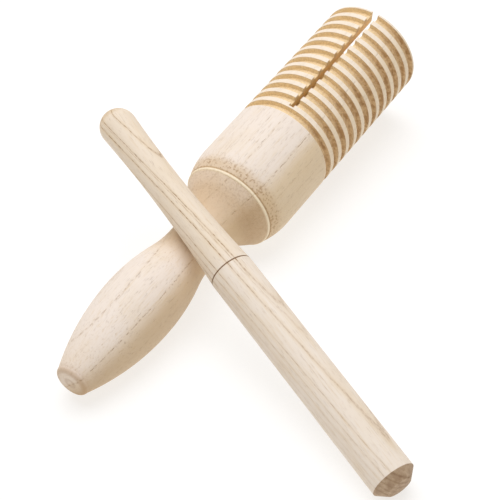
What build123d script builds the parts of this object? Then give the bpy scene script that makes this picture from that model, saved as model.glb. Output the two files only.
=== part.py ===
from build123d import *
import os
from math import acos, atan2, cos, degrees, hypot, radians, sin, sqrt

# A turned wooden guiro: handle and hollow, grooved and slotted head are one piece of wood.
# Its separate beater lies across the neck. Millimetres, +Z up, floor at z = 0.
# Each piece is turned about its own X axis. The instrument's x runs from the handle's tip
# to the mouth; the beater's x runs from its scored ring towards its thick end.

# ---- head ----
total_length = 239.0
head_radius = 25.0
wall_thickness = 7.0
bore_depth = 104.0
bore_corner = 6.0
mouth_edge_round = 0.5
shoulder_x = 130.5
shoulder_arc = 36.8
bead_x = 115.7
bead_width = 1.4
bead_height = 0.5
line_width = 0.4
line_depth = 0.35
dome_start_radius = 21.67
dome_start_slope = radians(32.14)
dome_arc = 60.0
cove_arc = 20.0

# ---- grooves and slot ----
groove_count = 12
groove_pitch = 6.73
groove_width = 4.1
groove_depth = 2.2
groove_draft = 0.25
first_groove_x = 159.5
slot_end_width = 2.4
slot_mouth_width = 3.5
slot_length = 74.5
slot_angle = -8.9

# ---- handle ----
neck_radius = 12.2
neck_x = 86.0
belly_radius = 17.1
belly_x = 48.3
belly_arc_to_neck = 102.0
belly_arc_to_tip = 121.5
tip_edge_round = 2.2
tip_edge_bulge = radians(50)

# ---- beater ----
shank_radius = 9.95
shank_length = 115.5
end_cone_length = 4.0
end_face_radius = 5.8
end_face_crown = 0.6
grip_waist_radius = 7.66
grip_waist_x = -55.0
grip_arc = 680.0
grip_end_x = -90.9
ring_width = 0.7
ring_depth = 0.35

# ---- how the two lie on the floor ----
beater_plan_angle = -110.85
beater_slope = 12.49
ring_from_crossing = 34.4

bore_radius = head_radius - wall_thickness
arc_middle = radians(45)
# The dome's convex arc runs into a cove, which ends level with the handle's neck.
dome_drop = dome_start_radius - neck_radius
turn_cosine = (dome_arc * cos(dome_start_slope) + cove_arc - dome_drop) / (dome_arc + cove_arc)
turn_slope = acos(turn_cosine)
turn_x = bead_x - dome_arc * (sin(turn_slope) - sin(dome_start_slope))
cove_x = turn_x - cove_arc * sin(turn_slope)


def turned(outline):
    """Solid of revolution about X from an outline drawn above the axis."""
    return revolve(make_face(outline), Axis.X, 360)


def arc_height(centre, radius, x):
    """Height at x of a circle's upper side, or of its lower side where the radius is negative."""
    rise = sqrt(radius**2 - (x - centre[0]) ** 2)
    return centre[1] + (rise if radius > 0 else -rise)


def arc_between(centre, radius, start_x, end_x):
    """Arc of a circle from one x to another: its upper side, or its lower side as above."""
    xs = (start_x, (start_x + end_x) / 2, end_x)
    return ThreePointArc(*[(x, arc_height(centre, radius, x)) for x in xs])


def handle_outline():
    """Spindle from the edge of its flat tip to the neck, as joined edges."""
    rise = belly_radius - neck_radius
    run = neck_x - belly_x
    flare_arc = (run**2 + rise**2) / (2 * rise) - belly_arc_to_neck
    flare_x = belly_x + run * belly_arc_to_neck / (belly_arc_to_neck + flare_arc)
    tail_centre = (belly_x, belly_radius - belly_arc_to_tip)
    front_centre = (belly_x, belly_radius - belly_arc_to_neck)

    tail = arc_between(tail_centre, belly_arc_to_tip, tip_edge_round, belly_x)
    tip_face_radius = (tail @ 0).Y - tip_edge_round
    tip_mid_x = tip_edge_round * (1 - cos(tip_edge_bulge))
    tip_mid_radius = tip_face_radius + tip_edge_round * sin(tip_edge_bulge)
    tip_round = ThreePointArc((0, tip_face_radius), (tip_mid_x, tip_mid_radius), tail @ 0)
    front = arc_between(front_centre, belly_arc_to_neck, belly_x, flare_x)
    flare = arc_between((neck_x, neck_radius + flare_arc), -flare_arc, flare_x, neck_x)
    return [tip_round, tail, front, flare]


def head_outline():
    """Head's outside from the end of the neck to its shoulder: cove, dome, bead and shoulder."""
    bead_end = bead_x + bead_width
    shoulder_centre = (shoulder_x, head_radius - shoulder_arc)
    line_floor = arc_height(shoulder_centre, shoulder_arc, bead_end) - line_depth
    dome_centre = (
        bead_x + dome_arc * sin(dome_start_slope),
        dome_start_radius - dome_arc * cos(dome_start_slope),
    )
    cove = arc_between((cove_x, neck_radius + cove_arc), -cove_arc, cove_x, turn_x)
    dome = arc_between(dome_centre, dome_arc, turn_x, bead_x)
    bead_top = (bead_x + bead_width / 2, (dome_start_radius + line_floor) / 2 + bead_height)
    bead = ThreePointArc(dome @ 1, bead_top, (bead_end, line_floor))
    shoulder = arc_between(shoulder_centre, shoulder_arc, bead_end + line_width, shoulder_x)
    return [cove, dome, bead, Line(bead @ 1, shoulder @ 0), shoulder]


def body_blank():
    """Whole instrument as turned and bored, before it is grooved and slotted."""
    handle = handle_outline()
    head = head_outline()
    bore_floor = total_length - bore_depth
    barrel = Polyline(
        head[-1] @ 1,
        (total_length - mouth_edge_round, head_radius),
        (total_length, head_radius - mouth_edge_round),
        (total_length, bore_radius + mouth_edge_round),
        (total_length - mouth_edge_round, bore_radius),
        (bore_floor + bore_corner, bore_radius),
    )
    corner_inset = bore_corner * (1 - cos(arc_middle))
    corner = ThreePointArc(
        barrel @ 1,
        (bore_floor + corner_inset, bore_radius - corner_inset),
        (bore_floor, bore_radius - bore_corner),
    )
    core = Polyline(corner @ 1, (bore_floor, 0), (0, 0), handle[0] @ 0)
    neck = Line(handle[-1] @ 1, head[0] @ 0)
    return turned([*handle, neck, *head, barrel, corner, core])


def groove_ring(start_x):
    """Ring of wood that one groove takes off the barrel; its walls lean out a little."""
    floor = head_radius - groove_depth
    above = head_radius + groove_depth
    lean = groove_draft * (above - floor) / groove_depth
    end_x = start_x + groove_width
    return turned(
        Polyline(
            (start_x + groove_draft, floor),
            (end_x - groove_draft, floor),
            (end_x - groove_draft + lean, above),
            (start_x + groove_draft - lean, above),
            close=True,
        )
    )


def slot_cutter():
    """Saw cut through one side of the barrel; its lips have spread towards the mouth."""
    past_mouth = 1.0
    end = slot_end_width / 2
    mouth = end + (slot_mouth_width / 2 - end) * (1 + past_mouth / slot_length)
    start_x = total_length - slot_length
    stop_x = total_length + past_mouth
    plan = Polyline((start_x, -end), (stop_x, -mouth), (stop_x, mouth), (start_x, end), close=True)
    blade = extrude(make_face(plan), head_radius + groove_depth, dir=(0, 0, 1))
    return Rot(-slot_angle, 0, 0) * blade


def body():
    """Instrument with its head grooved over the mouth half and slotted lengthwise."""
    solid = body_blank()
    for i in range(groove_count):
        solid -= groove_ring(first_groove_x + i * groove_pitch)
    return solid - slot_cutter()


def beater():
    """One-piece turned beater: plain shank, scored ring, waisted grip with a round end."""
    ring = ring_width / 2
    shank = Polyline(
        (0, shank_radius - ring_depth),
        (ring, shank_radius),
        (shank_length, shank_radius),
        (shank_length + end_cone_length, end_face_radius),
    )
    crown_x = shank_length + end_cone_length + end_face_crown
    crown_arc = (end_face_radius**2 + end_face_crown**2) / (2 * end_face_crown)
    crown_mid_x = crown_x - crown_arc + sqrt(crown_arc**2 - (end_face_radius / 2) ** 2)
    crown = ThreePointArc(shank @ 1, (crown_mid_x, end_face_radius / 2), (crown_x, 0))

    grip_centre = (grip_waist_x, grip_waist_radius + grip_arc)
    grip = arc_between(grip_centre, -grip_arc, grip_end_x, -ring)
    cap_radius = (grip @ 0).Y
    cap_mid = cap_radius * sin(arc_middle)
    cap = ThreePointArc((grip_end_x - cap_radius, 0), (grip_end_x - cap_mid, cap_mid), grip @ 0)
    return turned([Line(crown @ 1, cap @ 0), cap, grip, Line(grip @ 1, shank @ 0), shank, crown])


def lay_down():
    """Tilt and height at which the instrument rests on its shoulder and on its belly."""
    across = shoulder_x - belly_x
    drop = (head_radius - shoulder_arc) - (belly_radius - belly_arc_to_tip)
    tilt = acos((belly_arc_to_tip - shoulder_arc) / hypot(across, drop)) - atan2(across, drop)
    height = shoulder_arc - shoulder_x * sin(tilt) + (head_radius - shoulder_arc) * cos(tilt)
    return tilt, height


def main():
    os.makedirs("parts", exist_ok=True)
    tilt, height = lay_down()
    instrument_place = Pos(0, 0, height) * Rot(0, -degrees(tilt), 0)

    slope = radians(beater_slope)
    plan = radians(beater_plan_angle)
    ring_out = ring_from_crossing * cos(slope)
    ring_at = (
        neck_x * cos(tilt) + ring_out * cos(plan),
        ring_out * sin(plan),
        shank_length * sin(slope) + shank_radius * cos(slope),
    )
    beater_place = Pos(*ring_at) * Rot(0, 0, beater_plan_angle) * Rot(0, beater_slope, 0)

    pieces = {"guiro_body": instrument_place * body(), "beater": beater_place * beater()}
    boxes = [solid.bounding_box() for solid in pieces.values()]
    mid_x = (min(box.min.X for box in boxes) + max(box.max.X for box in boxes)) / 2
    mid_y = (min(box.min.Y for box in boxes) + max(box.max.Y for box in boxes)) / 2
    for name, solid in pieces.items():
        export_step(Pos(-mid_x, -mid_y, 0) * solid, f"parts/{name}.step")


main()
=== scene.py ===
import math

import bpy
from mathutils import Matrix, Vector

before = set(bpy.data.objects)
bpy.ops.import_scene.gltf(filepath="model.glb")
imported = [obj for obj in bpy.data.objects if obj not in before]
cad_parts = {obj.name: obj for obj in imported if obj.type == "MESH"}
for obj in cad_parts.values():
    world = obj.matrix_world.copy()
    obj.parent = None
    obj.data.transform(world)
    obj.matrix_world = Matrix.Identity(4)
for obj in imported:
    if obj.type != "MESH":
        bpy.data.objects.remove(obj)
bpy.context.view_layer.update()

# ---- the two pieces' own frames, in the row frame ----
MM = 0.001
BODY_TILT = math.radians(5.2437)
BODY_TIP = (-0.119849, 0.041317, 0.013123)
BEATER_PLAN = math.radians(-110.85)
BEATER_SLOPE = math.radians(12.49)
BEATER_RING = (-0.046163, 0.009930, 0.034694)


def axis_frame(origin, plan, rise):
    """Frame at origin with x along a turned axis, y level and z as far up as it can be."""
    x = Vector((math.cos(rise) * math.cos(plan), math.cos(rise) * math.sin(plan), math.sin(rise)))
    y = Vector((-math.sin(plan), math.cos(plan), 0))
    place = Matrix((x, y, x.cross(y))).transposed().to_4x4()
    place.translation = origin
    return place


body_frame = axis_frame(BODY_TIP, 0, BODY_TILT)
beater_frame = axis_frame(BEATER_RING, BEATER_PLAN, -BEATER_SLOPE)

# ---- dimensions that the looks follow, in millimetres along the pieces' axes ----
HEAD_RADIUS = 25.0
BORE_FLOOR = 135.0
FIRST_GROOVE = 159.5
BEAD_START = 115.7
BEAD_END = 117.1
# Width of the painted shade line in the corner beside the bead.
BEAD_SHADE_WIDTH = 0.6
RING_HALF_WIDTH = 0.35

# ---- where slopes begin and end along the body's axis ----
HANDLE_FLARE = (64.0, 84.0)
DOME_FLARE = (102.0, 114.0)
# Span of x over which painted shade spreads on the handle.
HANDLE_SHADE_SPAN = (92.0, 78.0)

# ---- growth layers: distance from the axis, half width and strength of each dark line ----
BODY_GRAIN_TURN = math.radians(47)
BEATER_GRAIN_TURN = math.radians(35)
BODY_LAYERS = (
    (-22.4, 0.3, 0.4),
    (-19.2, 0.3, 0.3),
    (-15.0, 0.3, 0.45),
    (-9.8, 0.3, 0.45),
    (-0.7, 0.4, 1.0),
    (3.5, 0.25, 0.35),
    (7.6, 0.25, 0.2),
    (11.7, 0.35, 0.75),
    (16.4, 0.3, 0.5),
    (20.5, 0.3, 0.4),
)
BEATER_LAYERS = (
    (-9.4, 0.25, 0.5),
    (-7.1, 0.2, 0.4),
    (-4.7, 0.25, 0.5),
    (-2.2, 0.25, 0.6),
    (0.5, 0.3, 0.75),
    (5.6, 0.32, 1.0),
    (7.7, 0.18, 0.5),
    (8.4, 0.25, 0.9),
    (13.5, 0.25, 0.8),
)


def linear(r, g, b):
    """Linear colour from sRGB bytes."""
    rgb = [c / 255 for c in (r, g, b)]
    return [c / 12.92 if c <= 0.04045 else ((c + 0.055) / 1.055) ** 2.4 for c in rgb] + [1]


PALE = linear(238, 225, 213)
WARM = linear(230, 211, 184)
TAN = linear(214, 184, 132)
BROWN = linear(148, 102, 44)
DARK = linear(112, 76, 44)
END_GRAIN = linear(213, 185, 146)
END_BROWN = linear(150, 118, 90)
PALE_BEATER = linear(237, 225, 212)
GROOVE_FLOOR = linear(242, 216, 170)
# Groove walls made paler than the floors: painted light to offset their shade.
GROOVE_WALL_PAINTED_LIGHT = linear(250, 226, 180)
RIDGE = linear(247, 231, 207)
INNER = linear(252, 219, 162)
# Painted highlight along the bead.
BEAD_HIGHLIGHT = linear(248, 233, 204)
# Heartwood tone, deepened with painted shade.
HEARTWOOD_AND_SHADE = linear(222, 199, 163)
# Painted shade on the sawn faces of the side turned from the light.
GROOVE_SHADE = linear(176, 132, 80)
# Painted shade on the end grain and the handle on the side turned from the light.
SHADED_SIDE_BROWN = linear(176, 143, 108)
TIP_EDGE = linear(178, 138, 92)


WOOD_SPECULAR = 0.35
BODY_ROUGHNESS = 0.62
BEATER_ROUGHNESS = 0.6
BODY_RELIEF = 0.00025
BEATER_RELIEF = 0.0002


class Nodes:
    """A material's node tree, with one short call per node."""

    def __init__(self, name):
        self.material = bpy.data.materials.new(name)
        self.material.use_nodes = True
        self.tree = self.material.node_tree
        self.tree.nodes.clear()

    def add(self, kind, inputs, **settings):
        node = self.tree.nodes.new(kind)
        for key, value in settings.items():
            setattr(node, key, value)
        for key, value in inputs.items():
            if isinstance(value, bpy.types.NodeSocket):
                self.tree.links.new(value, node.inputs[key])
            else:
                node.inputs[key].default_value = value
        return node

    def math(self, operation, *values):
        return self.add("ShaderNodeMath", dict(enumerate(values)), operation=operation).outputs[0]

    def total(self, *values):
        sum_so_far = values[0]
        for value in values[1:]:
            sum_so_far = self.math("ADD", sum_so_far, value)
        return sum_so_far

    def product(self, *values):
        result = values[0]
        for value in values[1:]:
            result = self.math("MULTIPLY", result, value)
        return result

    def ramp(self, value, start, end, low=0.0, high=1.0):
        """From low at start to high at end, smooth between and level beyond."""
        inputs = {0: value, 1: start, 2: end, 3: low, 4: high}
        return self.add("ShaderNodeMapRange", inputs, interpolation_type="SMOOTHSTEP").outputs[0]

    def noise(self, vector, stretch, detail=2.0):
        """Noise between 0 and 1, with its own number of cells per millimetre along each axis."""
        scaled = self.add("ShaderNodeVectorMath", {0: vector, 1: stretch}, operation="MULTIPLY")
        inputs = {"Vector": scaled.outputs[0], "Scale": 1.0, "Detail": detail}
        return self.add("ShaderNodeTexNoise", inputs).outputs[0]

    def mix(self, factor, a, b):
        """Colour a where factor is 0, running to colour b where it is 1."""
        inputs = {0: factor, 6: a, 7: b}
        return self.add("ShaderNodeMix", inputs, data_type="RGBA").outputs[2]

    def finish(self, colour, roughness, height, depth):
        """Principled surface with the height map as bump, depth in metres."""
        bump = self.add("ShaderNodeBump", {"Height": height, "Distance": depth, "Strength": 1.0})
        inputs = {"Base Color": colour, "Roughness": roughness, "Normal": bump.outputs[0]}
        surface = self.add("ShaderNodeBsdfPrincipled", inputs)
        surface.inputs["Specular IOR Level"].default_value = WOOD_SPECULAR
        self.add("ShaderNodeOutputMaterial", {0: surface.outputs[0]})
        return self.material


class Wood(Nodes):
    """Turned wood: growth layers, pores and fibres run along x of the piece's own frame.

    The layers are planes turned about x by an angle. They slope against the axis, by one amount
    before x = 0 and another after it, and wander slowly and in ripples, in millimetres.
    """

    def __init__(self, name, place, angle, slopes, wander):
        super().__init__(name)
        coords = self.add("ShaderNodeTexCoord", {})
        placed = {1: place.translation, 2: place.to_euler(), 3: (MM,) * 3}
        inputs = {0: coords.outputs["Object"], **placed}
        mapping = self.add("ShaderNodeMapping", inputs, vector_type="TEXTURE")
        self.point = mapping.outputs[0]
        split = self.add("ShaderNodeSeparateXYZ", {0: self.point})
        self.x, self.y, self.z = split.outputs
        squares = self.total(self.product(self.y, self.y), self.product(self.z, self.z))
        self.radius = self.math("SQRT", squares)

        axis = place.to_3x3() @ Vector((1, 0, 0))
        inputs = {0: coords.outputs["Normal"], 1: axis}
        facing = self.add("ShaderNodeVectorMath", inputs, operation="DOT_PRODUCT")
        self.facing = facing.outputs["Value"]
        self.end_grain = self.ramp(self.math("ABSOLUTE", self.facing), 0.18, 0.8)

        flat = self.total(
            self.product(self.z, math.cos(angle)),
            self.product(self.y, math.sin(angle)),
        )
        before = self.product(self.math("MINIMUM", self.x, 0.0), -slopes[0])
        after = self.product(self.math("MAXIMUM", self.x, 0.0), -slopes[1])
        drift = self.noise(self.point, (0.016, 0.04, 0.04), 1.0)
        ripple = self.noise(self.point, (0.16, 0.25, 0.25), 2.0)
        wavy = self.total(
            self.product(self.math("SUBTRACT", drift, 0.5), wander[0]),
            self.product(self.math("SUBTRACT", ripple, 0.5), wander[1]),
        )
        self.layer = self.total(flat, before, after, wavy)

    def lines(self, layers, spread):
        """Strength of the growth lines here: 1 on a strong line, 0 between lines."""
        strongest = 0.0
        for centre, half_width, strength in layers:
            away = self.math("ABSOLUTE", self.math("SUBTRACT", self.layer, centre))
            line = self.ramp(away, half_width * spread, half_width * 0.2, 0.0, strength)
            strongest = self.math("MAXIMUM", strongest, line)
        return strongest

    def between(self, start, end, edge):
        """1 where x lies between start and end, with soft edges."""
        rise = self.ramp(self.x, start - edge, start + edge)
        fall = self.ramp(self.x, end - edge, end + edge, 1.0, 0.0)
        return self.product(rise, fall)


def timber(w, base, layers, contrast, glaze, broken):
    """Bare sanded wood on a base colour: its colour, and height of the grain from 0 to 1."""
    dashes = w.ramp(w.noise(w.point, (0.5, 1.4, 1.4), 3.0), 0.44, 0.64, broken, 1.0)
    pores = w.ramp(w.noise(w.point, (0.22, 3.0, 3.0), 1.0), 0.64, 0.74)
    fibres = w.noise(w.point, (0.1, 1.5, 1.5), 3.0)
    mottle = w.noise(w.point, (0.05, 0.11, 0.11), 2.0)
    speckle = w.noise(w.point, (1.1, 1.1, 1.1), 3.0)

    colour = w.mix(w.ramp(mottle, 0.4, 0.75, 0.0, 0.35), base, WARM)
    colour = w.mix(w.ramp(fibres, 0.48, 0.8, 0.0, 0.3), colour, TAN)
    colour = w.mix(w.product(w.end_grain, 0.75), colour, END_GRAIN)
    rough = w.ramp(speckle, 0.45, 0.7, 0.0, 0.3)
    colour = w.mix(w.product(w.end_grain, rough), colour, BROWN)

    halo = w.lines(layers, 3.6)
    line = w.product(w.lines(layers, 1.0), dashes)
    colour = w.mix(w.product(halo, glaze), colour, TAN)
    colour = w.mix(w.product(pores, 0.22), colour, BROWN)
    colour = w.mix(w.product(line, contrast), colour, BROWN)
    relief = w.total(
        w.product(fibres, 0.35),
        w.product(speckle, 0.25),
        w.product(pores, -0.3),
        w.product(line, -0.6),
    )
    return colour, relief


def body_slopes_and_shade(w, colour, heart_and_shaded_side):
    """End grain on the slopes beside the neck, partly painted shade where the beater lies over
    them; painted shade on the heartwood side of the slopes and the handle, the side turned from
    the light.
    """
    # End grain on the slopes either side of the neck, partly painted shade where the beater lies
    # over the neck.
    neck_grain_and_shade = w.product(w.ramp(w.x, *HANDLE_FLARE), w.ramp(w.x, *DOME_FLARE, 1.0, 0.0))
    colour = w.mix(w.product(neck_grain_and_shade, 0.7), colour, END_GRAIN)
    # Painted shade: the heartwood side is the side turned from the light, so its end grain and
    # the handle there are darkened.
    handle_shade = w.ramp(w.x, *HANDLE_SHADE_SPAN, 0.0, 0.3)
    shade_depth = w.total(w.product(w.end_grain, 0.55), handle_shade)
    return w.mix(w.product(heart_and_shaded_side, shade_depth), colour, SHADED_SIDE_BROWN)


def turned_marks(w, colour):
    """Rough start of the shoulder, the lathe's centre mark on the handle's tip, and a browner rim
    there.
    """
    rough = w.ramp(w.noise(w.point, (0.9, 0.9, 0.9), 1.0), 0.5, 0.68)
    slope = w.ramp(w.facing, -0.15, -0.29)
    shoulder = w.product(slope, w.ramp(w.x, BEAD_END, BEAD_END + 0.5))
    colour = w.mix(w.product(shoulder, 0.6), colour, END_GRAIN)
    colour = w.mix(w.product(shoulder, rough, 0.5), colour, BROWN)

    # The lathe's centre has marked the handle's tip, and its rim is browner.
    tip = w.product(w.ramp(w.x, 4.5, 0.6), w.ramp(w.radius, 4.5, 7.0))
    colour = w.mix(w.product(tip, 0.38), colour, TIP_EDGE)
    spur = w.product(w.ramp(w.x, 0.4, 0.1), w.ramp(w.radius, 3.4, 2.4))
    colour = w.mix(w.product(spur, w.ramp(w.radius, 0.8, 1.8, 0.08, 0.26)), colour, BROWN)
    return colour


def grooved_barrel(w, colour):
    """Ridges, the sawn grooves and slot, and the bore; painted light on the groove walls and
    painted shade on the grooves of the shaded side.
    """
    grooved = w.ramp(w.x, FIRST_GROOVE - 0.3, FIRST_GROOVE)
    colour = w.mix(w.product(grooved, 0.5), colour, RIDGE)
    cut = w.product(grooved, w.ramp(w.radius, HEAD_RADIUS - 0.12, HEAD_RADIUS - 0.3))
    fuzz = w.ramp(w.noise(w.point, (1.6, 1.2, 1.2), 2.0), 0.4, 0.65, 0.0, 0.22)
    # Painted light: walls that face away from the light are paler than the floors to offset their
    # shade.
    sawn_with_painted_light_and_shade = w.mix(w.ramp(w.facing, -0.3, -0.8), GROOVE_FLOOR, GROOVE_WALL_PAINTED_LIGHT)
    # Painted shade: sawn faces on the heartwood side, the side turned from the light, browner in
    # blotches.
    blotches = w.ramp(w.noise(w.point, (0.5, 0.35, 0.35), 2.0), 0.4, 0.65, 0.3, 0.8)
    sawn_with_painted_light_and_shade = w.mix(w.product(w.ramp(w.layer, 10.0, -8.0), blotches), sawn_with_painted_light_and_shade, GROOVE_SHADE)
    colour = w.mix(w.product(cut, 0.92), colour, w.mix(fuzz, sawn_with_painted_light_and_shade, BROWN))
    inner = w.ramp(w.radius, HEAD_RADIUS - 2.5, HEAD_RADIUS - 4)
    inner = w.product(inner, w.ramp(w.x, BORE_FLOOR - 1, BORE_FLOOR))
    colour = w.mix(w.product(inner, 0.9), colour, INNER)
    return colour


def bead_highlight_and_shade(w, colour):
    """Painted highlight along the bead, and painted shade in the corner beside it."""
    # Painted highlight along the bead's edge.
    bead_highlight = w.between(BEAD_START, BEAD_END, 0.25)
    colour = w.mix(w.product(bead_highlight, 0.85), colour, BEAD_HIGHLIGHT)
    # Painted shade in the corner beside the bead.
    line = w.between(BEAD_END, BEAD_END + BEAD_SHADE_WIDTH, 0.2)
    colour = w.mix(w.product(line, 0.15), colour, BROWN)
    return colour


def body_wood():
    w = Wood("body_wood", body_frame, BODY_GRAIN_TURN, (0, 0.006), (3.4, 0.5))
    w.end_grain = w.product(w.end_grain, w.ramp(w.x, 0.0, 5.0, 0.35, 1.0))
    # The heartwood side has a real warmer tone, deepened with painted shade because it is the
    # side turned from the light.
    heart_and_shaded_side = w.ramp(w.layer, 2.0, -7.0)
    base = w.mix(w.product(heart_and_shaded_side, 0.85), PALE, HEARTWOOD_AND_SHADE)
    colour, relief = timber(w, base, BODY_LAYERS, 0.44, 0.08, 0.0)
    colour = body_slopes_and_shade(w, colour, heart_and_shaded_side)
    colour = turned_marks(w, colour)
    colour = grooved_barrel(w, colour)
    colour = bead_highlight_and_shade(w, colour)
    return w.finish(colour, BODY_ROUGHNESS, relief, BODY_RELIEF)


def beater_wood():
    w = Wood("beater_wood", beater_frame, BEATER_GRAIN_TURN, (0.09, 0.047), (1.4, 0.45))
    base = w.mix(w.ramp(w.x, -8.0, 4.0, 0.5, 0.1), PALE_BEATER, WARM)
    contrast = w.ramp(w.x, -2.0, 12.0, 0.85, 0.4)
    colour, relief = timber(w, base, BEATER_LAYERS, contrast, 0.22, 0.35)
    sawn_end = w.ramp(w.facing, 0.3, 0.75)
    streaks = w.ramp(w.noise(w.point, (0.1, 0.5, 0.5), 3.0), 0.3, 0.7, 0.4, 0.75)
    colour = w.mix(w.product(sawn_end, streaks), colour, END_BROWN)
    bands = w.product(sawn_end, w.lines(BEATER_LAYERS, 3.0))
    colour = w.mix(w.product(bands, 0.45), colour, DARK)
    ring = w.between(-RING_HALF_WIDTH, RING_HALF_WIDTH, 0.12)
    colour = w.mix(w.product(ring, 0.55), colour, DARK)
    return w.finish(colour, BEATER_ROUGHNESS, relief, BEATER_RELIEF)


slots = {"guiro_body": body_wood(), "beater": beater_wood()}
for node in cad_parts.values():
    node.data.materials.clear()
    node.data.materials.append(slots[node.name])


def link(name, data):
    thing = bpy.data.objects.new(name, data)
    bpy.context.scene.collection.objects.link(thing)
    return thing


# ---- floor ----
HALF_FLOOR = 3.0
FLOOR_GREY = (0.36, 0.36, 0.36, 1)
FLOOR_GLOW = (1, 0.99, 0.975, 1)
FLOOR_GLOW_STRENGTH = 0.69
floor_mesh = bpy.data.meshes.new("floor")
corners = [(x * HALF_FLOOR, y * HALF_FLOOR, 0) for x, y in ((-1, -1), (1, -1), (1, 1), (-1, 1))]
floor_mesh.from_pydata(corners, [], [(0, 1, 2, 3)])
link("floor", floor_mesh)
paper = Nodes("floor")
matt = paper.add("ShaderNodeBsdfDiffuse", {"Color": FLOOR_GREY})
glow = paper.add("ShaderNodeEmission", {"Color": FLOOR_GLOW, "Strength": FLOOR_GLOW_STRENGTH})
both = paper.add("ShaderNodeAddShader", {0: matt.outputs[0], 1: glow.outputs[0]})
paper.add("ShaderNodeOutputMaterial", {0: both.outputs[0]})
floor_mesh.materials.append(paper.material)

# ---- camera ----
CAM_RIGHT = Vector((0.563724, -0.825828, -0.014921))
CAM_UP = Vector((0.582556, 0.384726, 0.715971))
CAM_BACK = Vector((-0.585528, -0.412302, 0.697971))
CAM_AT = (-0.459988, -0.291350, 0.546276)
LENS_MM = 122.4
SENSOR_MM = 36
lens = bpy.data.cameras.new("camera")
lens.lens = LENS_MM
lens.sensor_width = SENSOR_MM
camera = link("camera", lens)
view = Matrix((CAM_RIGHT, CAM_UP, CAM_BACK)).transposed().to_4x4()
view.translation = CAM_AT
camera.matrix_world = view
bpy.context.scene.camera = camera

# ---- light ----
SKY_COLOUR = (1, 0.95, 0.88, 1)
SKY_STRENGTH = 0.5
KEY_COLOUR = (0.95, 0.98, 1.04)
KEY_FROM = CAM_UP * 0.85 - CAM_RIGHT * 0.1 + CAM_BACK * 0.52
KEY_DISTANCE = 1.2
KEY_SIZE = 1.3
KEY_POWER = 11.5

world = bpy.data.worlds.new("studio")
bpy.context.scene.world = world
world.use_nodes = True
sky = world.node_tree.nodes["Background"]
sky.inputs[0].default_value = SKY_COLOUR
sky.inputs[1].default_value = SKY_STRENGTH


def lamp(name, direction, distance, size, power):
    """Round soft lamp that shines from a direction on the guiro."""
    light = bpy.data.lights.new(name, "AREA")
    light.shape = "DISK"
    light.size = size
    light.energy = power
    light.color = KEY_COLOUR
    thing = link(name, light)
    direction = direction.normalized()
    thing.location = direction * distance
    thing.rotation_mode = "QUATERNION"
    thing.rotation_quaternion = direction.to_track_quat("Z", "Y")


lamp("key", KEY_FROM, KEY_DISTANCE, KEY_SIZE, KEY_POWER)

bpy.context.scene.view_settings.view_transform = "Standard"
